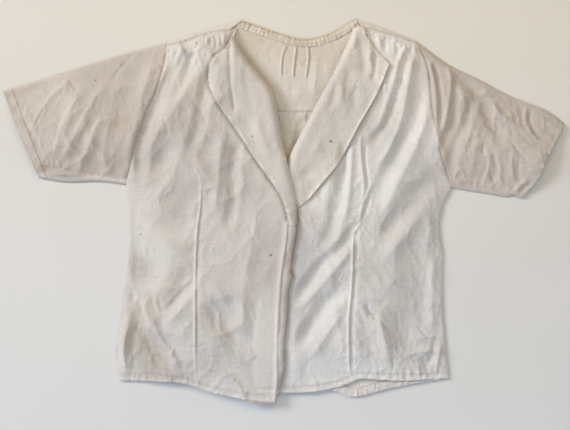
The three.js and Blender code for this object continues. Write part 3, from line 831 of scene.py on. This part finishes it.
def cloud(tree, place, stretch, detail=2.0):
    """Soft noise over the cloth, from 0 to 1; stretch is its frequency across and along."""
    scaled = add(tree, "ShaderNodeMapping", {"Vector": place, "Scale": (*stretch, 1)})
    texture = add(tree, "ShaderNodeTexNoise", {"Vector": scaled.outputs[0], "Scale": 1.0, "Detail": detail})
    return texture.outputs["Fac"]


def between(tree, value, low, high, new_low=0.0, new_high=1.0):
    """The value carried smoothly from the range low to high into another range."""
    made = add(
        tree,
        "ShaderNodeMapRange",
        {"Value": value, "From Min": low, "From Max": high, "To Min": new_low, "To Max": new_high},
        interpolation_type="SMOOTHSTEP",
    )
    return made.outputs[0]


def mixed(tree, factor, a, b, blend="MIX"):
    """Colour a turning into colour b as the factor goes from 0 to 1."""
    made = add(tree, "ShaderNodeMix", data_type="RGBA", blend_type=blend)
    for index, value in ((0, factor), (6, a), (7, b)):
        if isinstance(value, bpy.types.NodeSocket):
            tree.links.new(value, made.inputs[index])
        else:
            made.inputs[index].default_value = value
    return made.outputs[2]


def math(tree, operation, a, b=0.0):
    """The result of one arithmetic step between two values."""
    return add(tree, "ShaderNodeMath", {0: a, 1: b}, operation=operation).outputs[0]


def threads(tree, place):
    """Height of a plain weave: warp and weft bands that swell and thin."""
    pitch = 0.9 * MM
    bands = []
    for direction in ("X", "Y"):
        wave = add(
            tree,
            "ShaderNodeTexWave",
            {"Vector": place, "Scale": 1 / (3.18 * pitch), "Distortion": 1.2, "Detail": 1.0},
            bands_direction=direction,
        )
        bands.append(wave.outputs["Fac"])
    return math(tree, "ADD", *bands)


def creases(tree, place):
    """Height of small crisp creases: the edges of warped cells, with soft crumple between."""
    noisy = {"Vector": place, "Scale": 45.0, "Detail": 2.0}
    bent = add(tree, "ShaderNodeTexNoise", noisy).outputs["Color"]
    reach = (0.03, 0.03, 0)
    pushed = add(tree, "ShaderNodeVectorMath", {0: bent, 1: reach}, operation="MULTIPLY").outputs[0]
    moved = add(tree, "ShaderNodeVectorMath", {0: place, 1: pushed}, operation="ADD").outputs[0]
    stretched = add(tree, "ShaderNodeMapping", {"Vector": moved, "Scale": (46, 27, 1)}).outputs[0]
    cells = {"Vector": stretched, "Scale": 1.0}
    cells = add(tree, "ShaderNodeTexVoronoi", cells, feature="DISTANCE_TO_EDGE")
    ridges = between(tree, cells.outputs["Distance"], 0.0, 0.22, 1.0, 0.0)
    patches = between(tree, cloud(tree, place, (12, 12)), 0.45, 0.7)
    crisp = math(tree, "MULTIPLY", ridges, patches)
    soft = math(tree, "ADD", cloud(tree, place, (130, 80), 4.0), cloud(tree, place, (34, 46), 3.0))
    return math(tree, "ADD", math(tree, "MULTIPLY", crisp, 0.55), soft)


PALE_WEAR_AND_HIGHLIGHT = (0.82, 0.80, 0.77, 1)  # worn edges and painted highlight
# soiling and painted shade on the cloth, dirt on the floor
SOIL_AND_SHADE_TONE = (0.30, 0.24, 0.18, 1)
# stain spots, and painted shade spots on the lower fronts
STAIN_AND_SHADE_TONE = (0.42, 0.30, 0.17, 1)
SPECK = (0.06, 0.06, 0.055, 1)
MATT_CLOTH = {"Roughness": 0.92, "Specular IOR Level": 0.2, "Sheen Weight": 0.1, "Sheen Roughness": 0.6}


def spotted(tree, place, uneven, colour, spots, tone):
    """The colour with soft spots of another tone. A spot is (x, y, radius, strength)."""
    for x, y, radius, strength in spots:
        centre = {0: place, 1: (x * MM, y * MM, 0)}
        away = add(tree, "ShaderNodeVectorMath", centre, operation="DISTANCE").outputs["Value"]
        spread = math(tree, "MULTIPLY", away, between(tree, uneven, 0.3, 0.7, 0.75, 1.3))
        amount = between(tree, spread, 0.2 * radius * MM, radius * MM, strength, 0.0)
        colour = mixed(tree, amount, colour, tone)
    return colour


def linen(name, light, shade, stain_and_shade_spots=(), specks=()):
    """Washed linen: uneven tone, slubs along both threads, soft stain spots and painted shade spots,
    dark specks, soiling and painted shade along seams and edges, worn paler edges and painted
    highlight, weave and fine creases."""
    material = bpy.data.materials.new(name)
    material.use_nodes = True
    tree = material.node_tree
    surface = tree.nodes["Principled BSDF"]
    place = add(tree, "ShaderNodeUVMap", uv_map="cloth").outputs[0]
    colour = mixed(tree, between(tree, cloud(tree, place, (7, 6), 5.0), 0.32, 0.68), light, shade)
    weft = between(tree, cloud(tree, place, (30, 520)), 0.35, 0.7, 0.972, 1.028)
    warp = between(tree, cloud(tree, place, (520, 40)), 0.35, 0.7, 0.99, 1.01)
    slubs = math(tree, "MULTIPLY", weft, warp)
    grey = add(tree, "ShaderNodeCombineColor", {0: slubs, 1: slubs, 2: slubs}).outputs[0]
    colour = mixed(tree, 1.0, colour, grey, "MULTIPLY")
    uneven = cloud(tree, place, (60, 60), 3.0)
    colour = spotted(tree, place, uneven, colour, stain_and_shade_spots, STAIN_AND_SHADE_TONE)
    colour = spotted(tree, place, uneven, colour, specks, SPECK)
    # soiling and painted shade along seams, edges and hollows, then worn paler edges and painted highlight
    # along crests
    line_marks = add(tree, "ShaderNodeAttribute", attribute_name="line_marks").outputs["Fac"]
    line_marks = math(tree, "MULTIPLY", line_marks, between(tree, uneven, 0.3, 0.7, 0.6, 1.2))
    colour = mixed(tree, line_marks, colour, SOIL_AND_SHADE_TONE)
    wear_and_highlight = add(tree, "ShaderNodeAttribute", attribute_name="wear_and_highlight").outputs["Fac"]
    colour = mixed(tree, wear_and_highlight, colour, PALE_WEAR_AND_HIGHLIGHT)
    tree.links.new(colour, surface.inputs["Base Color"])
    relief = {"Height": creases(tree, place), "Distance": 1.3 * MM, "Strength": 0.8}
    coarse = add(tree, "ShaderNodeBump", relief).outputs[0]
    relief = {"Height": threads(tree, place), "Distance": 0.12 * MM, "Strength": 0.5, "Normal": coarse}
    tree.links.new(add(tree, "ShaderNodeBump", relief).outputs[0], surface.inputs["Normal"])
    for socket, value in MATT_CLOTH.items():
        surface.inputs[socket].default_value = value
    return material


def steel():
    """Nickelled steel, a little dulled."""
    material = bpy.data.materials.new("press_stud")
    material.use_nodes = True
    tree = material.node_tree
    surface = tree.nodes["Principled BSDF"]
    place = add(tree, "ShaderNodeTexCoord").outputs["Object"]
    worn = cloud(tree, place, (900, 900), 3.0)
    tone = mixed(tree, between(tree, worn, 0.35, 0.65), (0.55, 0.54, 0.52, 1), (0.42, 0.41, 0.39, 1))
    tree.links.new(tone, surface.inputs["Base Color"])
    tree.links.new(between(tree, worn, 0.3, 0.7, 0.28, 0.45), surface.inputs["Roughness"])
    surface.inputs["Metallic"].default_value = 1.0
    return material


OUTSIDE = linen(
    "linen",
    (0.665, 0.64, 0.625, 1),
    (0.56, 0.535, 0.52, 1),
    stain_and_shade_spots=[(96, 230, 30, 0.1)],
    specks=[(73, 107, 2.4, 0.6), (71, 108, 1.8, 0.5)],
)
RIGHT_OUTSIDE = linen(
    "linen_right",
    (0.63, 0.61, 0.60, 1),
    (0.51, 0.48, 0.475, 1),
    stain_and_shade_spots=[
        # the three wide spots at the lower right corner and the one beside the front edge are painted
        # shade; the others are stain spots
        (-175, -5, 34, 0.1), (-150, 190, 34, 0.1), (-70, 284, 24, 0.3), (-230, -206, 40, 0.17),
        (-204, -238, 40, 0.14), (-216, -152, 20, 0.1), (-84, -190, 22, 0.06), (-26, -104, 14, 0.1),
    ],
    specks=[
        (-49, 115, 2.2, 0.7), (20, -24, 4, 0.8), (-20, -69, 2.4, 0.7), (-223, -37, 2.4, 0.5),
        (-201, -103, 2, 0.5), (-71, -243, 2, 0.4),
    ],
)
LEFT_OUTSIDE = linen(
    "linen_left",
    (0.705, 0.70, 0.71, 1),
    (0.575, 0.565, 0.57, 1),
    # the two wide faint spots on the lower left front are painted shade; the others are stain spots
    stain_and_shade_spots=[(206, 236, 26, 0.15), (240, -210, 34, 0.12), (176, -120, 70, 0.06), (160, -190, 60, 0.05)],
    specks=[(198, -75, 2.2, 0.5), (54, -63, 2, 0.3)],
)
WORN = linen(
    "linen_sleeves",
    (0.56, 0.515, 0.49, 1),
    (0.47, 0.43, 0.41, 1),
    stain_and_shade_spots=[(-251, 134, 26, 0.22), (-334, 84, 18, 0.2), (-378, 70, 16, 0.2)],
    specks=[(-294, 203, 2.2, 0.5)],
)
INSIDE = linen(
    "linen_inside",
    (0.71, 0.675, 0.645, 1),
    (0.62, 0.58, 0.545, 1),
    stain_and_shade_spots=[(-52, 268, 40, 0.3), (74, 250, 34, 0.18), (20, 262, 60, 0.12)],
)
RUCHED = linen(
    "binding",
    (0.70, 0.655, 0.59, 1),
    (0.61, 0.555, 0.475, 1),
    stain_and_shade_spots=[(28, 272, 26, 0.3), (-20, 283, 16, 0.3), (74, 278, 22, 0.2), (-60, 294, 16, 0.45)],
)


# ---------------------------------------------------------------- the garment's pieces


def bend_at(piece):
    """Bakes the piece's placement into its mesh."""
    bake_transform(piece)


def add_backs():
    """The back yoke and the back panel share one outline, cut along the yoke seam."""
    right = [RIGHT_SHOULDER_LINE, RIGHT_ARMHOLE, RIGHT_SIDE]
    left = [LEFT_SIDE[::-1], LEFT_ARMHOLE[::-1], LEFT_SHOULDER_LINE[::-1]]
    whole = loop(NECKLINE[::-1], *right, BACK_HEM, *left)
    for name, above, size, area in (
        ("back_yoke", True, (0.43, 0.145), 0.051),
        ("back_panel", False, (0.52, 0.45), 0.213),
    ):
        outline = whole[(whole[:, 1] > YOKE_SEAM_Y) == above]
        turn = np.argmax(np.linalg.norm(outline - np.roll(outline, 1, axis=0), axis=1))
        outline = np.roll(outline, -turn, axis=0)
        seam = curve((outline[-1, 0], YOKE_SEAM_Y), (outline[0, 0], YOKE_SEAM_Y))
        built = layer(loop(outline, seam), back_top, lines=BACK_TUCKS if above else ())
        piece = finish_cloth(name + "_cloth", built, INSIDE)
        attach(piece, "root")
        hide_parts(name)


def add_back_hem():
    """The puckered band along the back's hem, which shows below the left front."""
    line = BACK_HEM[6:-6]

    def height(xy, along, across):
        return back_top(xy) + CLOTH + 0.5 + 3.2 * np.abs(waver(along, 5, across, 2.0))

    piece = finish_cloth("back_hem_cloth", ribbon(line, HEM, height), OUTSIDE)
    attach(piece, "root")
    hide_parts("back_hem")


def add_neck_binding():
    """The ruched binding along the back of the neck."""
    def height(xy, along, across):
        bend = waver(along, 16, 0.0, 3.0)
        ruche = np.sin(2 * np.pi * along / RUCHE + 1.2 * across + 5 * bend)
        uneven = waver(along, 5, 1.5 * across, 6.0)
        crown = 1.2 * np.sin(np.pi * min(across * 1.1, 1)) + 0.6
        return LAYER + 1.4 + crown + 0.22 * ruche + 0.9 * uneven

    built = ribbon(NECKLINE, -BINDING, height, rows=7, step=0.9)
    piece = finish_cloth("neck_binding_cloth", built, RUCHED)
    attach(piece, "root")
    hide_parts("neck_binding")


def add_shoulder_yokes():
    """The yoke's narrow strips that come forward over the shoulders."""
    def height(xy):
        top, mask = body_height(xy)
        return top + mask * ripple(xy, (16, 16), 0.8, 33.5)

    for side, edge, seam in (
        ("right", RIGHT_SHOULDER_LINE, RIGHT_YOKE_SEAM),
        ("left", LEFT_SHOULDER_LINE, LEFT_YOKE_SEAM[::-1]),
    ):
        built = layer(loop(edge, seam), height, step=3)
        piece = finish_cloth(f"shoulder_yoke_{side}_cloth", built, OUTSIDE)
        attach(piece, "root")
        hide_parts(f"shoulder_yoke_{side}")


def add_right_front():
    """The right front is one piece of cloth from shoulder to hem."""
    shoulder = [RIGHT_YOKE_SEAM[::-1], RIGHT_ARMHOLE]
    outline = loop(RIGHT_HEM, FRONT_SEAM, STRIP_END, RIGHT_ROLL, *shoulder, RIGHT_SIDE)
    lines = [RIGHT_DART, RIGHT_LAPEL_EDGE - [1.5, 0], FRONT_SEAM - [3.5, 0]]
    built = layer(outline, right_top, lines=lines)
    piece = finish_cloth("front_right_cloth", built, RIGHT_OUTSIDE)
    bend_at(piece)
    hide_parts("front_right_side", "front_right_flap")


def add_left_front():
    """The left front goes on under the right one as far as the underlap's edge."""
    underlap = curve((UNDERLAP_X, -284), (UNDERLAP_X, -75), (-30, -20), step=8)
    outline = loop(LEFT_HEM, underlap, LEFT_ROLL, LEFT_YOKE_SEAM, LEFT_ARMHOLE, LEFT_SIDE)
    built = layer(outline, left_top, lines=[LEFT_DART])
    piece = finish_cloth("front_left_cloth", built, LEFT_OUTSIDE)
    bend_at(piece)
    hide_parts("front_left_side", "front_left_flap")


def add_facings():
    """The cloth behind the front edges; the right one rolls outward as a narrow strip."""
    inner = FRONT_SEAM - [FACING, 0]
    right = loop(FACING_FOLD, STRIP_END[::-1], inner[::-1])
    built = layer(right, right_facing_top, step=3)
    piece = finish_cloth("facing_right_cloth", built, RIGHT_OUTSIDE)
    bend_at(piece)
    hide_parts("facing_right")
    edge = curve((UNDERLAP_X + 0.5, -283), (UNDERLAP_X + 0.5, -76), step=8)
    left = loop(edge, edge[::-1] + [FACING, 0])

    def below(xy):
        return left_top(xy) - UNDER

    piece = finish_cloth("facing_left_cloth", layer(left, below, step=6), INSIDE)
    bend_at(piece)
    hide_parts("facing_left")


def add_lapels():
    """The two lapels, each lying over its front."""
    built = layer(RIGHT_LAPEL, right_lapel_top, step=3.5)
    piece = finish_cloth("lapel_right_cloth", built, RIGHT_OUTSIDE)
    bend_at(piece)
    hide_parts("lapel_right")
    built = layer(LEFT_LAPEL, left_lapel_top, step=3.5)
    piece = finish_cloth("lapel_left_cloth", built, OUTSIDE)
    bend_at(piece)
    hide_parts("lapel_left")


def add_front_hems():
    """The fronts' turned-up hems lie against their undersides."""
    right = RIGHT_HEM[4:-17], right_top, HEM, ["hem_right_side", "hem_right_flap"], 0.17
    left = LEFT_HEM[4:-14], left_top, -HEM, ["hem_left_flap"], 0.23
    for side, (line, top, width, nodes, length) in (("right", right), ("left", left)):

        def under(xy, along, across, top=top):
            return top(xy) - CLOTH - 0.5 - 0.8 * across

        built = ribbon(line, width, under, rows=3, step=4)
        piece = finish_cloth(f"hem_{side}_cloth", built, INSIDE)
        bend_at(piece)
        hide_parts(*nodes)


def add_sleeves():
    """Each sleeve is a flattened tube with a sewn band round its cuff."""
    right = RIGHT_ARMHOLE, RIGHT_SLEEVE_TOP, RIGHT_SLEEVE_BOTTOM, RIGHT_CUFF, right_top, (0.38, 0.24)
    left = LEFT_ARMHOLE, LEFT_SLEEVE_TOP, LEFT_SLEEVE_BOTTOM, LEFT_CUFF, left_top, (0.34, 0.23)
    for side, (armhole, top_edge, bottom_edge, cuff, top, size) in (("right", right), ("left", left)):
        top_end, bottom_end = spaced(top_edge[::-1], CUFF)[1], spaced(bottom_edge, CUFF)[1]
        down = np.linspace(0, 1, len(cuff))[:, None]
        seam = cuff + (1 - down) * (top_end - cuff[0]) + down * (bottom_end - cuff[-1])
        outline = loop(top_edge, cuff, bottom_edge, armhole[::-1])
        edges = [top_edge, bottom_edge]
        piece = finish_cloth(f"sleeve_{side}_cloth", tube(outline, top, edges), WORN)
        bend_at(piece)
        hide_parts(f"sleeve_{side}")

        def band_top(xy, top=top):
            return top(xy) + 0.7

        outline = loop(cuff, seam[::-1])
        edges = [np.vstack([seam[:1], cuff[:1]]), np.vstack([seam[-1:], cuff[-1:]])]
        built = tube(outline, band_top, edges, step=3)
        piece = finish_cloth(f"sleeve_hem_{side}_cloth", built, WORN)
        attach(piece, f"sleeve_{side}")
        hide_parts(f"sleeve_hem_{side}")


def dress_studs():
    """The press studs keep their CAD shapes and get a metal look."""
    metal = steel()
    for name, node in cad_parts.items():
        if name.startswith("stud_"):
            node.data.materials.clear()
            node.data.materials.append(metal)


# ---------------------------------------------------------------- stage

PHOTO_WIDTH = 886 * MM  # seen across the picture, at the garment
CAMERA_HEIGHT = 1.6
CAMERA_CENTRE = (1.6 * MM, -6.8 * MM)
FLOOR = 3.0  # half its side
# painted warm light beyond the collar and painted cool light below the hem
FLOOR_PAINTED_WARM_LIGHT = (0.70, 0.695, 0.685, 1)
FLOOR_PAINTED_COOL_LIGHT = (0.69, 0.70, 0.715, 1)


def add_floor():
    """A pale floor with painted light: painted warm light beyond the collar and painted cool light below
    the hem.
    """
    mesh = bpy.data.meshes.new("floor")
    corners = [(x * FLOOR, y * FLOOR, 0) for x, y in ((-1, -1), (1, -1), (1, 1), (-1, 1))]
    mesh.from_pydata(corners, [], [(0, 1, 2, 3)])
    floor = bpy.data.objects.new("floor", mesh)
    bpy.context.scene.collection.objects.link(floor)
    material = bpy.data.materials.new("floor")
    material.use_nodes = True
    tree = material.node_tree
    surface = tree.nodes["Principled BSDF"]
    place = add(tree, "ShaderNodeTexCoord").outputs["Object"]
    northward = add(tree, "ShaderNodeSeparateXYZ", {0: place}).outputs["Y"]
    tone = mixed(tree, between(tree, northward, -0.3, 0.3), FLOOR_PAINTED_COOL_LIGHT, FLOOR_PAINTED_WARM_LIGHT)
    dirt = between(tree, cloud(tree, place, (2, 2)), 0.3, 0.7, 0.0, 0.06)
    tree.links.new(mixed(tree, dirt, tone, SOIL_AND_SHADE_TONE), surface.inputs["Base Color"])
    surface.inputs["Roughness"].default_value = 0.7
    mesh.materials.append(material)


def add_light(name, place, size, power, tone):
    """A soft rectangular light that faces the garment."""
    lamp = bpy.data.lights.new(name, "AREA")
    lamp.shape = "RECTANGLE"
    lamp.size, lamp.size_y = size
    lamp.energy = power
    lamp.color = tone
    shown = bpy.data.objects.new(name, lamp)
    bpy.context.scene.collection.objects.link(shown)
    shown.location = place
    shown.rotation_mode = "QUATERNION"
    shown.rotation_quaternion = (-Vector(place)).to_track_quat("-Z", "Y")


def add_lights():
    """A window at the upper left of the picture, a warm light above it and a blue one below."""
    add_light("window", (-3.8, 1.5, 1.95), (1.8, 1.4), 164, (0.965, 0.98, 1.0))
    add_light("room", (0.1, 1.05, 1.25), (2.2, 0.6), 10.5, (1.0, 0.74, 0.33))
    add_light("sky", (0.1, -1.05, 1.25), (2.2, 0.6), 10.5, (0.64, 0.81, 1.0))
    world = bpy.data.worlds.new("room")
    world.use_nodes = True
    background = world.node_tree.nodes["Background"]
    background.inputs["Color"].default_value = (1.0, 0.935, 0.87, 1)
    background.inputs["Strength"].default_value = 0.297
    bpy.context.scene.world = world
    bpy.context.scene.view_settings.view_transform = "Standard"


def add_camera():
    """Straight above the garment, looking down."""
    data = bpy.data.cameras.new("camera")
    data.sensor_width = 36
    garment = (CAD_HIGH.z + CAD_LOW.z) / 2
    data.lens = data.sensor_width * (CAMERA_HEIGHT - garment) / PHOTO_WIDTH
    camera = bpy.data.objects.new("camera", data)
    bpy.context.scene.collection.objects.link(camera)
    camera.location = (*CAMERA_CENTRE, CAMERA_HEIGHT)
    bpy.context.scene.camera = camera


add_camera()
add_lights()
add_floor()
add_backs()
add_back_hem()
add_neck_binding()
add_shoulder_yokes()
add_left_front()
add_right_front()
add_facings()
add_lapels()
add_front_hems()
add_sleeves()
dress_studs()

bpy.context.view_layer.update()
